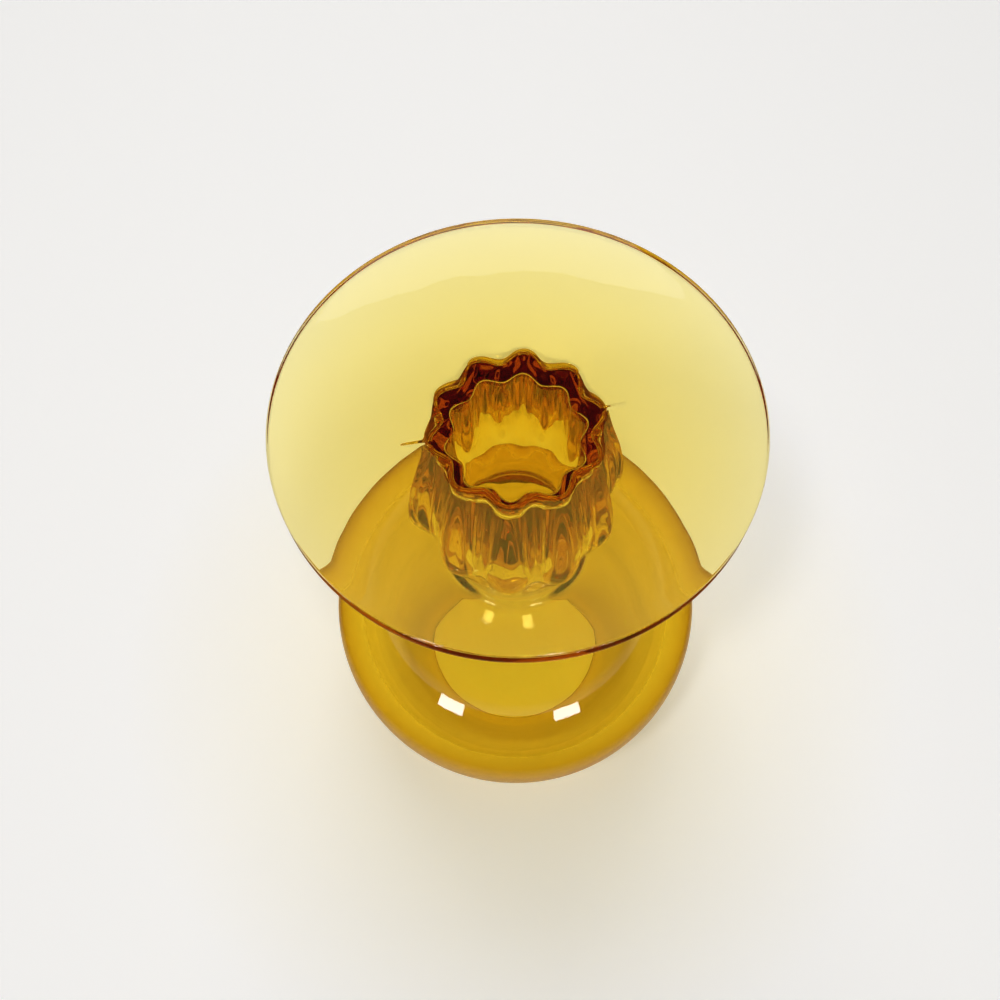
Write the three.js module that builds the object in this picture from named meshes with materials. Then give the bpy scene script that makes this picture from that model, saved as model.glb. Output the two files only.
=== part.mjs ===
// Footed flower bowl in amber pressed glass: a disc foot, a hollow stem pressed with ten flutes that
// swells to a knop, and a ball-shaped bowl whose thick wall turns in to a rounded lip.
// Millimetres, +Z up, origin at the centre of the ring that the foot rests on.
// The two seams of the mould run up the crests that lie on +X and -X.

import * as THREE from 'three';

// Whole vessel
const overallHeight = 152;
const jointGap = 0.3; // the pieces were fused hot, and are kept this far apart as solids

// Foot: a disc that is thickest at the stem
const footDiameter = 100;
const footEdgeThickness = 3.4;
const footEdgeCornerRadius = 0.9; // both corners of the edge
const restingRingWidth = 2.6; // flat ring of the underside that touches the table
const dishDepth = 1.0; // hollow of the underside inside that ring
const footSlope = 6; // degrees, from the edge up to the stem
const footFilletRadius = 1.5; // sweep from the foot up into the stem

// Flutes of the stem, cut inward from its crests
const fluteCount = 10;
const fluteDepth = 2.6;
const innerFluteDepth = 2.0; // the same inside, softened
const fluteFootShare = 0.45; // share of their depth that they have where the fillet leaves the foot
const fluteEndHeight = 54; // height where they have died out in the bowl
const fluteEndLength = 12; // height over which they fade
const innerFluteEndHeight = 47; // and the same height inside
const seamHeight = 1.5; // how far a seam stands above its crest

// Stem: outside radii are taken over the crests
const stemFootRadius = 17.8;
const waistRadius = 17.6;
const waistHeight = 26;
const knopRadius = 22.5;
const knopHeight = 36.5;
const neckRadius = 19.5;
const neckHeight = 50; // where the bowl is joined on, and the wall is upright

// Hollow of the stem, open to the bowl
const plugThickness = 13.8; // solid glass under it, measured from the table
const plugCornerRadius = 0.5;
const hollowFootRadius = 15.5; // over the crests
const hollowTopRadius = 16.4;
const hollowTopHeight = 57;
const hollowTopFlare = 4; // degrees from upright

// Bowl
const bowlRadius = 52.2;
const bowlWall = 7.0;
const mouthRadius = 31.5; // to the crown of the lip
const shoulderAngle = 26; // degrees from straight down where the bowl becomes a true ball

// Fineness of the faceted surfaces
const segments = 80; // round the axis, a multiple of twice the flutes

const degrees = Math.PI / 180;

// Places that follow from the sizes
const footRadius = footDiameter / 2;
const edgeCornerCentre = footRadius - footEdgeCornerRadius;
const dishRadius = edgeCornerCentre - restingRingWidth;
const filletCentreRadius = stemFootRadius + footFilletRadius;
const filletStartRadius = filletCentreRadius - footFilletRadius * Math.sin(footSlope * degrees);
const filletRun = edgeCornerCentre - filletStartRadius;
const filletStartHeight = footEdgeThickness + filletRun * Math.tan(footSlope * degrees);
const filletEndHeight = filletStartHeight + footFilletRadius * Math.cos(footSlope * degrees);
const stemStartHeight = filletEndHeight + jointGap;
const lipRadius = bowlWall / 2;
const lipCentreHeight = overallHeight - lipRadius;
const bowlCentreHeight = lipCentreHeight - Math.sqrt((bowlRadius - lipRadius) ** 2 - mouthRadius ** 2);
const mouthAngle = Math.atan2(lipCentreHeight - bowlCentreHeight, mouthRadius) / degrees;

// A point of a profile: radius, height, depth of the flutes there and height of the seams there
function point(radius, height, flutes = 0, seam = 0) {
  return { radius, height, flutes, seam };
}

// Points along an arc of a profile, both ends included
function arc(centreRadius, centreHeight, radius, fromAngle, toAngle, steps) {
  return Array.from({ length: steps + 1 }, (_, i) => {
    const angle = (fromAngle + ((toAngle - fromAngle) * i) / steps) * degrees;
    return point(centreRadius + radius * Math.cos(angle), centreHeight + radius * Math.sin(angle));
  });
}

// A smooth curve between two points of a profile, leaning out from upright by the given angles
function sweep(from, fromLean, to, toLean, steps) {
  const handle = from.distanceTo(to) / 3;
  const lean = (angle) => new THREE.Vector2(Math.sin(angle * degrees), Math.cos(angle * degrees));
  const curve = new THREE.CubicBezierCurve(
    from,
    lean(fromLean).multiplyScalar(handle).add(from),
    lean(toLean).multiplyScalar(-handle).add(to),
    to,
  );
  return curve.getPoints(steps).map((p) => point(p.x, p.y));
}

// The place where a ball of this radius about the bowl's centre begins
function shoulderOf(radius) {
  const angle = shoulderAngle * degrees;
  return new THREE.Vector2(radius * Math.sin(angle), bowlCentreHeight - radius * Math.cos(angle));
}

// The outside from the top of the foot's fillet to the lip
const stemFoot = new THREE.Vector2(stemFootRadius, stemStartHeight);
const waist = new THREE.Vector2(waistRadius, waistHeight);
const knop = new THREE.Vector2(knopRadius, knopHeight);
const neck = new THREE.Vector2(neckRadius, neckHeight);
const outside = [
  ...sweep(stemFoot, 0, waist, 0, 2),
  ...sweep(waist, 0, knop, 0, 5).slice(1),
  ...sweep(knop, 0, neck, 0, 4).slice(1),
  ...sweep(neck, 0, shoulderOf(bowlRadius), 90 - shoulderAngle, 4).slice(1),
  ...arc(0, bowlCentreHeight, bowlRadius, shoulderAngle - 90, mouthAngle, 11).slice(1),
];

// The inside from above the plug's corner to the lip
const hollowRadius = bowlRadius - bowlWall;
const hollowFoot = new THREE.Vector2(hollowFootRadius, plugThickness + plugCornerRadius);
const hollowTop = new THREE.Vector2(hollowTopRadius, hollowTopHeight);
const inside = [
  ...sweep(hollowFoot, 0, hollowTop, hollowTopFlare, 6),
  ...sweep(hollowTop, hollowTopFlare, shoulderOf(hollowRadius), 90 - shoulderAngle, 4).slice(1),
  ...arc(0, bowlCentreHeight, hollowRadius, shoulderAngle - 90, mouthAngle, 10).slice(1),
];

// Part of a profile between two heights, with new points exactly at both
function between(profile, low, high) {
  const cut = (height) => {
    const next = profile.findIndex((p, i) => i > 0 && p.height >= height);
    const [a, b] = [profile[next - 1], profile[next]];
    return point(THREE.MathUtils.mapLinear(height, a.height, b.height, a.radius, b.radius), height);
  };
  const inner = profile.filter((p) => p.height > low + jointGap && p.height < high - jointGap);
  return [cut(low), ...inner, cut(high)];
}

// The flutes and seams fade out below endHeight
function fluted(profile, depth, seam, endHeight) {
  return profile.map(({ radius, height }) => {
    const end = THREE.MathUtils.smoothstep(height, endHeight - fluteEndLength, endHeight);
    return point(radius, height, depth * (1 - end), seam * (1 - end));
  });
}

// One closed solid from a profile turned round the axis. The crests of the flutes lie at equal angles
// from +X, and the seams on +X and -X. A profile that leaves the axis comes back to it or to its start.
function turned(profile, closed) {
  const positions = [];
  const rows = profile.map(({ radius, height, flutes, seam }) => {
    if (radius === 0) {
      positions.push(0, 0, height);
      return Array(segments).fill(positions.length / 3 - 1);
    }
    return Array.from({ length: segments }, (_, i) => {
      const angle = (i / segments) * 2 * Math.PI;
      const ridge = i % (segments / 2) === 0 ? seam : 0;
      const r = radius - (flutes / 2) * (1 - Math.cos(fluteCount * angle)) + ridge;
      positions.push(r * Math.cos(angle), r * Math.sin(angle), height);
      return positions.length / 3 - 1;
    });
  });
  if (closed) rows.push(rows[0]);
  const indices = [];
  for (let row = 0; row + 1 < rows.length; row += 1) {
    for (let i = 0; i < segments; i += 1) {
      const next = (i + 1) % segments;
      const [a, b] = [rows[row][i], rows[row][next]];
      const [c, d] = [rows[row + 1][i], rows[row + 1][next]];
      if (a !== b) indices.push(a, b, d);
      if (c !== d) indices.push(a, d, c);
    }
  }
  const geometry = new THREE.BufferGeometry();
  geometry.setAttribute('position', new THREE.Float32BufferAttribute(positions, 3));
  geometry.setIndex(indices);
  geometry.computeVertexNormals();
  return geometry;
}

// Foot: dished underside, flat resting ring, edge with rounded corners, slope and fillet up to the stem
function footGeometry() {
  const dishSteps = 4;
  const dish = Array.from({ length: dishSteps }, (_, i) => {
    const share = i / dishSteps;
    return point(dishRadius * share, (dishDepth / 2) * (1 + Math.cos(Math.PI * share)));
  });
  const topCorner = footEdgeThickness - footEdgeCornerRadius;
  const fillet = arc(filletCentreRadius, filletEndHeight, footFilletRadius, 270 - footSlope, 180, 6);
  const rising = fillet.map((p, i) => {
    const share = i / (fillet.length - 1);
    const flutes = fluteDepth * THREE.MathUtils.lerp(fluteFootShare, 1, THREE.MathUtils.smoothstep(share, 0, 1));
    return point(p.radius, p.height, flutes, seamHeight * share ** 2);
  });
  return turned([
    ...dish,
    point(dishRadius, 0),
    ...arc(edgeCornerCentre, footEdgeCornerRadius, footEdgeCornerRadius, -90, 0, 3),
    ...arc(edgeCornerCentre, topCorner, footEdgeCornerRadius, 0, 90, 3),
    ...rising,
    point(0, filletEndHeight),
  ], false);
}

// Stem: a fluted tube with a thick knop, closed at the foot by a plug and open to the bowl
function stemGeometry() {
  const wall = between(outside, stemStartHeight, neckHeight);
  const hollow = between(inside, hollowFoot.y, neckHeight);
  const cornerCentre = hollowFootRadius - plugCornerRadius;
  const corner = arc(cornerCentre, hollowFoot.y, plugCornerRadius, 0, -90, 2).slice(1);
  return turned([
    point(0, stemStartHeight),
    ...fluted(wall, fluteDepth, seamHeight, fluteEndHeight),
    ...fluted(hollow.reverse(), innerFluteDepth, 0, innerFluteEndHeight),
    ...fluted(corner, innerFluteDepth, 0, innerFluteEndHeight),
    point(0, plugThickness),
  ], false);
}

// Bowl: a ball that grows out of the stem's neck, open to the stem below and at the lip above
function bowlGeometry() {
  const bowlStart = neckHeight + jointGap;
  const outer = between(outside, bowlStart, outside[outside.length - 1].height);
  const inner = between(inside, bowlStart, inside[inside.length - 1].height);
  const lip = [
    ...arc(mouthRadius, lipCentreHeight, lipRadius, mouthAngle, 90, 3).slice(1),
    ...arc(mouthRadius, lipCentreHeight, lipRadius, 90, mouthAngle + 180, 5).slice(1, -1),
  ];
  return turned([
    ...fluted(outer, fluteDepth, seamHeight, fluteEndHeight),
    ...lip,
    ...inner.reverse(),
  ], true);
}

const vessel = new THREE.Group();
for (const [name, geometry, colour] of [
  ['foot', footGeometry(), 0xe3d38a],
  ['stem', stemGeometry(), 0x9a5a14],
  ['bowl', bowlGeometry(), 0xc89604],
]) {
  const glass = new THREE.MeshStandardMaterial({ color: colour, roughness: 0.03, metalness: 0 });
  const piece = new THREE.Mesh(geometry, glass);
  piece.name = name;
  vessel.add(piece);
}

export default vessel;
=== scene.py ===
import math

import bpy
import numpy as np
from mathutils import Matrix, Vector


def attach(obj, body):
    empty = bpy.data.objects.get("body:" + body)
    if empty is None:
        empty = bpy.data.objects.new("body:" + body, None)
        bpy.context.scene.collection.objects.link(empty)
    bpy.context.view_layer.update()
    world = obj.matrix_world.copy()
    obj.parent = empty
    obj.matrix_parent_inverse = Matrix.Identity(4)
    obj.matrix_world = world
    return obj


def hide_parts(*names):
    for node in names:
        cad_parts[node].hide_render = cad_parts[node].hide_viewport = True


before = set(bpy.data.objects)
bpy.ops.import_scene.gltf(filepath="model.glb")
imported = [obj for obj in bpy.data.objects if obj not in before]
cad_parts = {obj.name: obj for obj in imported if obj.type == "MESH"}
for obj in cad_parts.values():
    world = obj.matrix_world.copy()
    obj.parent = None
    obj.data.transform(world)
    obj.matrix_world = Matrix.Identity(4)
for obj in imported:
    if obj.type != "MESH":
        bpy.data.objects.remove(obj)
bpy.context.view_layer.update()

mm = 0.001

# Foot of the vessel
# A disc of pressed amber glass with rounded edge corners, a little hollow underneath so that it stands on
# a ring. Its upper face rises to a fillet, where the flutes begin. The seams of the mould run out over it.
foot_radius = 50.0
edge_thickness = 3.4
edge_corner = 0.45
ring_width = 2.6
dish_depth = 1.0
foot_slope = 6.0
fillet_radius = 1.5
stem_foot_radius = 17.8
flute_depth = 2.6
flute_foot_share = 0.45
seam_height = 1.5
foot_seam = 0.12
foot_seam_full = 19.0
foot_seam_end = 26.0


def smooth(value, start, end):
    """0 before start, 1 after end, and a smooth step between."""
    share = min(max((value - start) / (end - start), 0.0), 1.0)
    return share * share * (3 - 2 * share)


def arc(centre, radius, start, stop, steps):
    """Points of an arc in the outline, angles in degrees, both ends included."""
    angles = np.radians(np.linspace(start, stop, steps + 1))
    return [(centre[0] + radius * math.cos(a), centre[1] + radius * math.sin(a)) for a in angles]


# The outline of the glass as (radius, height, flute depth, seam height) in millimetres, from the axis under
# the foot round the outside to the lip and back down the inside. The last number of an arc or a sweep is its
# number of steps.
corner_centre = foot_radius - edge_corner
dish_radius = corner_centre - ring_width
slope = math.radians(foot_slope)
fillet_centre = stem_foot_radius + fillet_radius
fillet_start = fillet_centre - fillet_radius * math.sin(slope)
fillet_foot = edge_thickness + (corner_centre - fillet_start) * math.tan(slope)
foot_height = fillet_foot + fillet_radius * math.cos(slope)
outline = []
for r in np.linspace(0, dish_radius, 14):
    outline.append((r, dish_depth / 2 * (1 + math.cos(math.pi * r / dish_radius)), 0, 0))
edge = arc((corner_centre, edge_corner), edge_corner, -90, 0, 6)
edge += arc((corner_centre, edge_thickness - edge_corner), edge_corner, 0, 90, 6)
outline += [(r, z, 0, 0) for r, z in edge]
for r in np.linspace(corner_centre, fillet_start, 18)[1:]:
    seam = foot_seam * smooth(-r, -foot_seam_end, -foot_seam_full)
    outline.append((r, edge_thickness + (corner_centre - r) * math.tan(slope), 0, seam))
fillet_steps = 12
fillet = arc((fillet_centre, foot_height), fillet_radius, 270 - foot_slope, 180, fillet_steps)
for step, (r, z) in enumerate(fillet[1:]):
    share = (step + 1) / fillet_steps
    seam = foot_seam + (seam_height - foot_seam) * share ** 2
    depth = flute_depth * (flute_foot_share + (1 - flute_foot_share) * smooth(share, 0, 1))
    outline.append((r, z, depth, seam))

# Stem
# A hollow glass stem from the same two-part mould, with ten flutes that run from the foot over a full knop
# and die out in the neck, and a sharp fin at each seam. Solid at the foot, it opens into the bowl.
flute_count = 10
inner_flute_depth = 2.0
flute_end = 54.0
inner_flute_end = 47.0
flute_fade = 12.0
stem_lean = 10.0
knop = (22.5, 36.5)
neck = (15.5, 58.0)
plug_thickness = 13.8
plug_corner = 0.5
hollow_foot = (15.5, plug_thickness + plug_corner)
hollow_belly = (16.0, 36.0)
hollow_neck = (12.6, 58.0)


def sweep(start, start_lean, end, end_lean, steps):
    """A smooth curve between two outline points, leaning out from upright by those degrees."""
    handle = math.dist(start, end) / 3
    a, b = math.radians(start_lean), math.radians(end_lean)
    first = (start[0] + handle * math.sin(a), start[1] + handle * math.cos(a))
    last = (end[0] - handle * math.sin(b), end[1] - handle * math.cos(b))
    share = np.linspace(0, 1, steps + 1)[:, None]
    weights = [(1 - share) ** 3, 3 * share * (1 - share) ** 2, 3 * share ** 2 * (1 - share), share ** 3]
    corners = np.array([start, first, last, end])
    return [tuple(p) for p in sum(w * c for w, c in zip(weights, corners))]


outer = sweep((stem_foot_radius, foot_height), stem_lean, knop, 0, 44)
outer += sweep(knop, 0, neck, 0, 24)[1:]

# Bowl
# A thick ball-shaped bowl of the same glass, its wall turning in at the mouth to a rounded, fire-polished
# lip. Inside and outside are balls about the same centre.
overall_height = 152.0
bowl_radius = 52.2
bowl_wall = 7.0
mouth_radius = 31.5
shoulder_angle = 20.0
inner_shoulder_angle = 22.0
lip_radius = bowl_wall / 2
lip_height = overall_height - lip_radius
bowl_centre = lip_height - math.sqrt((bowl_radius - lip_radius) ** 2 - mouth_radius ** 2)
mouth_angle = math.degrees(math.atan2(lip_height - bowl_centre, mouth_radius))


def shoulder(radius, angle):
    """The point of the outline where a ball of this radius about the bowl's centre begins."""
    angle = math.radians(angle)
    return (radius * math.sin(angle), bowl_centre - radius * math.cos(angle))


lean = 90 - shoulder_angle
inner_lean = 90 - inner_shoulder_angle
outer += sweep(neck, 0, shoulder(bowl_radius, shoulder_angle), lean, 24)[1:]
outer += arc((0, bowl_centre), bowl_radius, -lean, mouth_angle, 64)[1:]
hollow_radius = bowl_radius - bowl_wall
hollow = sweep(hollow_foot, 0, hollow_belly, 0, 28)
hollow += sweep(hollow_belly, 0, hollow_neck, 0, 24)[1:]
hollow += sweep(hollow_neck, 0, shoulder(hollow_radius, inner_shoulder_angle), inner_lean, 24)[1:]
hollow += arc((0, bowl_centre), hollow_radius, -inner_lean, mouth_angle, 60)[1:-1]
for r, z in outer[1:]:
    fade = 1 - smooth(z, flute_end - flute_fade, flute_end)
    outline.append((r, z, flute_depth * fade, seam_height * fade))
for r, z in arc((mouth_radius, lip_height), lip_radius, mouth_angle, mouth_angle + 180, 14)[1:]:
    outline.append((r, z, 0, 0))
for r, z in hollow[::-1]:
    fade = 1 - smooth(z, inner_flute_end - flute_fade, inner_flute_end)
    outline.append((r, z, inner_flute_depth * fade, 0))
plug_radius = hollow_foot[0] - plug_corner
for r, z in arc((plug_radius, hollow_foot[1]), plug_corner, 0, -90, 5)[1:]:
    outline.append((r, z, inner_flute_depth, 0))
for share in np.linspace(1, 0, 8)[1:]:
    outline.append((plug_radius * share, plug_thickness, inner_flute_depth * share, 0))

# The three are fused hot into one body of glass with no surface between them, so one mesh shows them. Its
# points lie closer together across each seam, so that the fins come out sharp.
seam_half_width = 0.55
plain_turns = 200
seam_step = math.radians(0.3)
seam_steps = 12
turns = set(np.linspace(0, 2 * math.pi, plain_turns, endpoint=False))
for seam in (0, math.pi):
    turns |= set(seam + seam_step * np.arange(-seam_steps, seam_steps + 1))
turns = np.unique(np.round(np.mod(list(turns), 2 * math.pi), 5))
off_seam = np.abs((turns + math.pi / 2) % math.pi - math.pi / 2)
tangents = np.gradient(np.array(outline)[:, :2], axis=0)
tangents /= np.linalg.norm(tangents, axis=1)[:, None]
vertices, rows = [], []
on_axis = 1e-6
for (r, z, flute, seam), (out, up) in zip(outline, tangents):
    if r < on_axis:
        rows.append([len(vertices)] * len(turns))
        vertices.append((0, 0, z * mm))
        continue
    rows.append(range(len(vertices), len(vertices) + len(turns)))
    # A fin stands square to the outline.
    fin = seam * np.clip(1 - off_seam * r / seam_half_width, 0, 1)
    radius = r - flute / 2 * (1 - np.cos(flute_count * turns)) + fin * up
    height = z - fin * out
    ring = np.column_stack((radius * np.cos(turns), radius * np.sin(turns), height)) * mm
    vertices += ring.tolist()
faces = []
for low, high in zip(rows[:-1], rows[1:]):
    for i in range(len(turns)):
        j = (i + 1) % len(turns)
        # At the axis two corners fall together, and one of them is left out.
        corners = [low[i], low[j], high[j], high[i]]
        faces.append([c for k, c in enumerate(corners) if c != corners[k - 1]])
vessel_mesh = bpy.data.meshes.new("vessel")
vessel_mesh.from_pydata(vertices, [], faces)
vessel_mesh.update()
vessel_mesh.shade_smooth()
vessel = bpy.data.objects.new("vessel", vessel_mesh)
bpy.context.scene.collection.objects.link(vessel)


def linear(colour):
    """An sRGB hex colour as linear RGBA."""
    parts = [int(colour[i:i + 2], 16) / 255 for i in (1, 3, 5)]
    return (*[p / 12.92 if p <= 0.04045 else ((p + 0.055) / 1.055) ** 2.4 for p in parts], 1.0)


def add(tree, kind, links=(), **settings):
    """Adds a node with its settings, and links {input: output socket} to it."""
    node = tree.nodes.new(kind)
    for name, value in settings.items():
        if name in node.inputs:
            node.inputs[name].default_value = value
        else:
            setattr(node, name, value)
    for name, socket in dict(links).items():
        tree.links.new(socket, node.inputs[name])
    return node


# Soda-lime glass coloured amber in the batch, fire-polished after the mould, which leaves it slightly wavy.
# The colour is in its depth, so the volume carries it: pale where thin, honey in the bowl, brown end on. A
# millimetre of it takes away about 1% of red light, 4% of green and a fifth of blue.
wave_length = 14 * mm
wave_height = 0.4 * mm
amber = bpy.data.materials.new("fire_polished_amber_glass")
amber.use_nodes = True
tree = amber.node_tree
tree.nodes.clear()
place = add(tree, "ShaderNodeTexCoord").outputs["Object"]
waves = add(tree, "ShaderNodeTexNoise", {"Vector": place}, Scale=1 / wave_length, Detail=1.5)
bump = add(tree, "ShaderNodeBump", {"Height": waves.outputs["Fac"]}, Strength=0.12, Distance=wave_height)
glass = add(tree, "ShaderNodeBsdfPrincipled", {"Normal": bump.outputs["Normal"]}, IOR=1.52, Roughness=0.0)
glass.inputs["Base Color"].default_value = linear("#ffffff")
glass.inputs["Transmission Weight"].default_value = 1.0
colouring = add(tree, "ShaderNodeVolumeAbsorption", Color=(0.949, 0.838, 0.0, 1.0), Density=235.0)
add(tree, "ShaderNodeOutputMaterial", {"Surface": glass.outputs[0], "Volume": colouring.outputs[0]})
vessel_mesh.materials.append(amber)
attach(vessel, "root")
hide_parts("foot", "stem", "bowl")

# Stage
# The photograph shows the vessel standing on its mouth on a white cloth. The model stands on its foot,
# so the cloth is above it, faces down, and is seen only from below. The floor is seen only from above.
cloth_gap = 0.3 * mm
floor_gap = 0.2 * mm
sheet_half = 1.6
glow_reach = 150 * mm


def one_sided(name, height, facing, colour, glow_and_painted_light, mirrored, hidden_from):
    """A large sheet of the stage that shows on one side and lets lamps through. Its glow and what the glass
    mirrors of it are painted, set by the distance from the axis.
    """
    mesh = bpy.data.meshes.new(name)
    corners = [(x * sheet_half, y * sheet_half, height) for x, y in ((-1, -1), (1, -1), (1, 1), (-1, 1))]
    mesh.from_pydata(corners, [], [(0, 1, 2, 3) if facing > 0 else (3, 2, 1, 0)])
    sheet = bpy.data.objects.new(name, mesh)
    bpy.context.scene.collection.objects.link(sheet)
    material = bpy.data.materials.new(name)
    material.use_nodes = True
    tree = material.node_tree
    tree.nodes.clear()
    ray = add(tree, "ShaderNodeLightPath")
    side = add(tree, "ShaderNodeNewGeometry")
    paint = add(tree, "ShaderNodeBsdfDiffuse", Color=linear(colour))
    flat = add(tree, "ShaderNodeVectorMath", {0: side.outputs["Position"]}, operation="MULTIPLY")
    flat.inputs[1].default_value = (1 / glow_reach, 1 / glow_reach, 0)
    away = add(tree, "ShaderNodeVectorMath", {0: flat.outputs[0]}, operation="LENGTH")
    emissions = []
    for stops in (glow_and_painted_light, mirrored):
        painted_glow_ramp = add(tree, "ShaderNodeValToRGB", {0: away.outputs["Value"]})
        for _ in stops[2:]:
            painted_glow_ramp.color_ramp.elements.new(0.5)
        for element, (radius, shade) in zip(painted_glow_ramp.color_ramp.elements, stops):
            element.position = radius * mm / glow_reach
            element.color = linear(shade)
        emissions.append(add(tree, "ShaderNodeEmission", {0: painted_glow_ramp.outputs[0]}, Strength=1.0))
    # pale is the sheet's glow, which on the cloth holds the painted amber light and painted shadow; dim is
    # the painted reflection that reflection rays see instead of the lit sheet.
    pale, dim = emissions
    lit = add(tree, "ShaderNodeAddShader", {0: paint.outputs[0], 1: pale.outputs[0]})
    # Reflection rays see the painted reflection instead of the lit sheet.
    in_mirror = ray.outputs["Is Reflection Ray"]
    lit = add(tree, "ShaderNodeMixShader", {0: in_mirror, 1: lit.outputs[0], 2: dim.outputs[0]})
    clear = add(tree, "ShaderNodeBsdfTransparent")
    front = add(tree, "ShaderNodeMath", {0: side.outputs["Backfacing"]}, operation="LESS_THAN")
    show = front.outputs[0]
    for output in hidden_from:
        other = add(tree, "ShaderNodeMath", {0: ray.outputs[output]}, operation="LESS_THAN")
        both = add(tree, "ShaderNodeMath", {0: show, 1: other.outputs[0]}, operation="MULTIPLY")
        show = both.outputs[0]
    mixed = add(tree, "ShaderNodeMixShader", {0: show, 1: clear.outputs[0], 2: lit.outputs[0]})
    add(tree, "ShaderNodeOutputMaterial", {"Surface": mixed.outputs[0]})
    mesh.materials.append(material)


# Each sheet gives off a little light by itself, so that it stays pale. On the cloth that light is partly
# painted: painted amber light under the mouth, where light would come through the amber glass, and a painted
# warm shadow near the ball. What the glass mirrors of the cloth is a painted reflection, darker, and pale
# only close round the ball.
# The radii are in millimetres from the axis. The rays named are those for which a sheet isn't there.
# Painted amber light under the mouth, fading to a painted warm shadow round the ball, then an even glow.
cloth_glow_and_painted_amber_light = [(0, "#9c8a22"), (14, "#9c8a22"), (30, "#b09c3a"), (35, "#a4976c")]
cloth_glow_and_painted_amber_light += [(60, "#a0997f"), (130, "#a3a3a3")]
# Painted reflection of the cloth in the glass: dark brown, pale only in a ring close round the ball.
cloth_painted_reflection = [(0, "#6b3f14"), (36, "#6b3f14"), (46, "#b3a071"), (66, "#b3a071"), (84, "#6b3f14")]
floor_glow = [(0, "#202020"), (130, "#202020")]
floor_mirrored = [(0, "#a6a5a3"), (130, "#a6a5a3")]
cloth_rays = ["Is Shadow Ray", "Is Diffuse Ray"]
floor_rays = cloth_rays + ["Glossy Depth", "Diffuse Depth"]
one_sided("cloth", overall_height * mm + cloth_gap, -1, "#f7f5f2", cloth_glow_and_painted_amber_light, cloth_painted_reflection, cloth_rays)
one_sided("floor", -floor_gap, 1, "#e4e3e1", floor_glow, floor_mirrored, floor_rays)

# Room
# The glass mirrors a dim room, whose light comes from the windows, and shows a paler one through it near
# the horizon. Each stop is a place from straight down, 0, to straight up, 1.
world = bpy.data.worlds.new("studio")
bpy.context.scene.world = world
world.use_nodes = True
tree = world.node_tree
tree.nodes.clear()
aim = add(tree, "ShaderNodeTexCoord")
split = add(tree, "ShaderNodeSeparateXYZ", {0: aim.outputs["Generated"]})
up = add(tree, "ShaderNodeMapRange", {0: split.outputs[2]})
up.inputs[1].default_value = -1.0
rooms = []
for stops in [
    [(0.0, "#403f3d"), (0.44, "#403f3c"), (0.55, "#e8e8e6")],
    [(0.0, "#5a5752"), (0.30, "#8a8680"), (0.42, "#d8d6d2"), (0.55, "#e8e8e6")],
]:
    shade = add(tree, "ShaderNodeValToRGB", {0: up.outputs[0]})
    ramp = shade.color_ramp
    for place, _ in stops[1:-1]:
        ramp.elements.new(place)
    for element, (place, colour) in zip(ramp.elements, stops):
        element.position = place
        element.color = linear(colour)
    rooms.append(add(tree, "ShaderNodeBackground", {0: shade.outputs[0]}, Strength=1.0))
backdrop = add(tree, "ShaderNodeBackground", Color=linear("#f4f3f1"), Strength=1.0)
ray = add(tree, "ShaderNodeLightPath")
mirrored_room, shown_room = rooms
through = ray.outputs["Is Transmission Ray"]
room = add(tree, "ShaderNodeMixShader", {0: through, 1: mirrored_room.outputs[0], 2: shown_room.outputs[0]})
direct = ray.outputs["Is Camera Ray"]
seen = add(tree, "ShaderNodeMixShader", {0: direct, 1: room.outputs[0], 2: backdrop.outputs[0]})
add(tree, "ShaderNodeOutputWorld", {"Surface": seen.outputs[0]})

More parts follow.
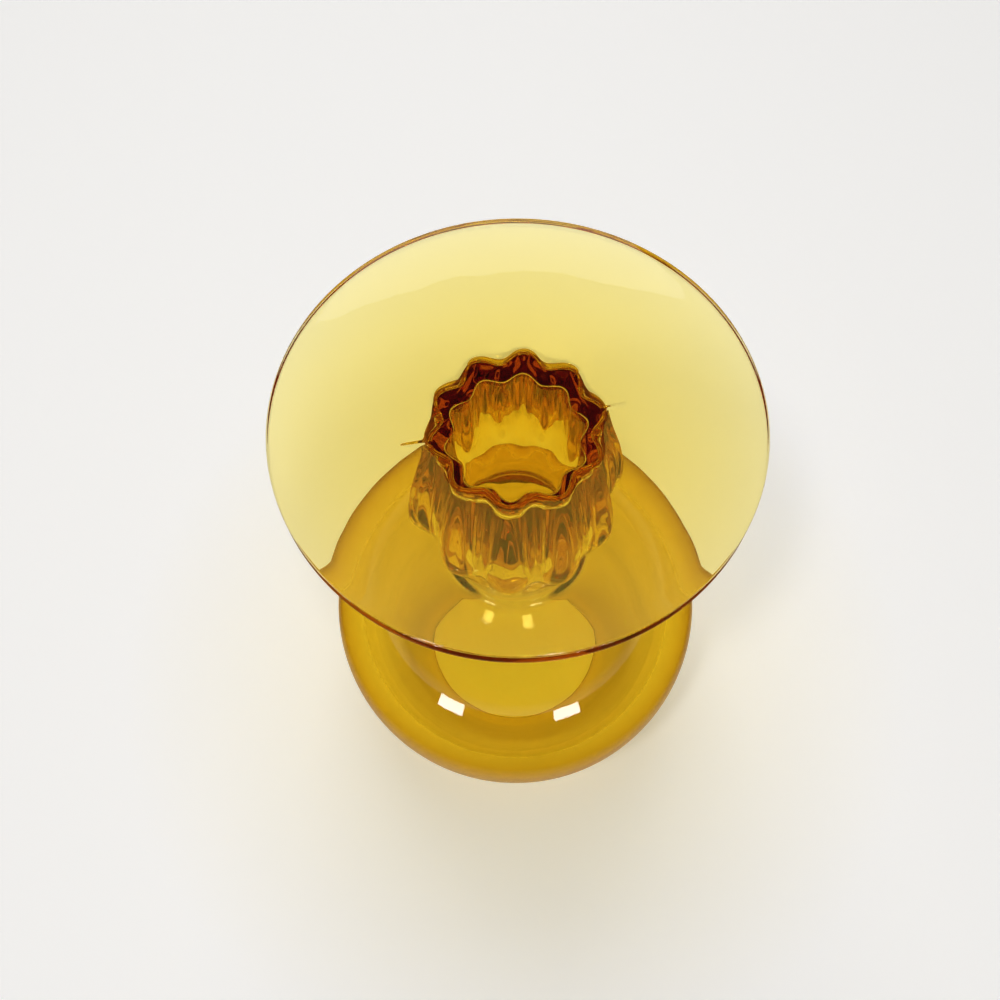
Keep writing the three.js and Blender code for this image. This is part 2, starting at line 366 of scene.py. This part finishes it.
# Windows
# Two windows below the foot and two low ones beside it, whose marks lie on the glass, a far one that the
# foot mirrors, a large soft lamp on the cloth that the glass doesn't mirror, and a softbox above.
# Azimuth and height in degrees, distance and size in metres, power in watts.
lamp_aim = Vector((0, 0, 70 * mm))
for name, azimuth, elevation, distance, width, height, power, on_cloth, mirrored in [
    ("window_left", -37, -66, 1.2, 0.10, 0.17, 2.2, True, True),
    ("window_right", -97, -72, 1.2, 0.10, 0.17, 2.2, True, True),
    ("low_left", -47, 8, 0.42, 0.09, 0.08, 0.35, False, True),
    ("low_right", -102, 9, 0.42, 0.09, 0.08, 0.35, False, True),
    ("far_window", 100, -48, 1.2, 0.5, 0.3, 0.6, False, True),
    ("cloth_light", 95, -62, 1.3, 0.8, 0.8, 5.5, True, False),
    ("softbox", -130, 55, 1.2, 0.6, 0.6, 6.0, True, True),
]:
    lamp = bpy.data.lights.new(name, "AREA")
    lamp.shape = "RECTANGLE"
    lamp.size, lamp.size_y = width, height
    lamp.energy = power
    holder = bpy.data.objects.new(name, lamp)
    a, e = math.radians(azimuth), math.radians(elevation)
    place = distance * Vector((math.cos(e) * math.cos(a), math.cos(e) * math.sin(a), math.sin(e)))
    holder.location = place + lamp_aim
    holder.rotation_euler = (-place).to_track_quat("-Z", "Y").to_euler()
    holder.visible_camera = False
    holder.visible_diffuse = on_cloth
    holder.visible_transmission = on_cloth
    holder.visible_glossy = mirrored
    bpy.context.scene.collection.objects.link(holder)

# Camera
# Placed from the foot's ellipse and the seams: 1000 pixels of focal length on a 1000 pixel picture. The
# foot's centre and normal are as the camera has them, with x to the right, y down and z ahead.
foot_centre = np.array([3.4, -17.1, 199.1]) * mm
foot_normal = np.array([-0.0097, -0.4285, -0.9035])
foot_normal /= np.linalg.norm(foot_normal)
seam_turn = math.radians(13)
z_axis = -foot_normal
y_axis = foot_centre - foot_centre.dot(foot_normal) * foot_normal
y_axis /= np.linalg.norm(y_axis)
x_axis = np.cross(y_axis, z_axis)
to_row = Matrix.Rotation(seam_turn, 3, "Z") @ Matrix([x_axis, y_axis, z_axis])
camera = bpy.data.objects.new("camera", bpy.data.cameras.new("camera"))
bpy.context.scene.collection.objects.link(camera)
turn = to_row @ Matrix([(1, 0, 0), (0, -1, 0), (0, 0, -1)])
camera.matrix_world = Matrix.Translation(to_row @ Vector(-foot_centre)) @ turn.to_4x4()
camera.data.sensor_width = 36
camera.data.lens = 36
camera.data.clip_start = 0.005
bpy.context.scene.camera = camera
bpy.context.scene.view_settings.view_transform = "Standard"

# Light goes to and fro many times in the fluted glass before it leaves it.
light_paths = bpy.context.scene.cycles
light_paths.max_bounces = 32
light_paths.glossy_bounces = 32
light_paths.transmission_bounces = 32
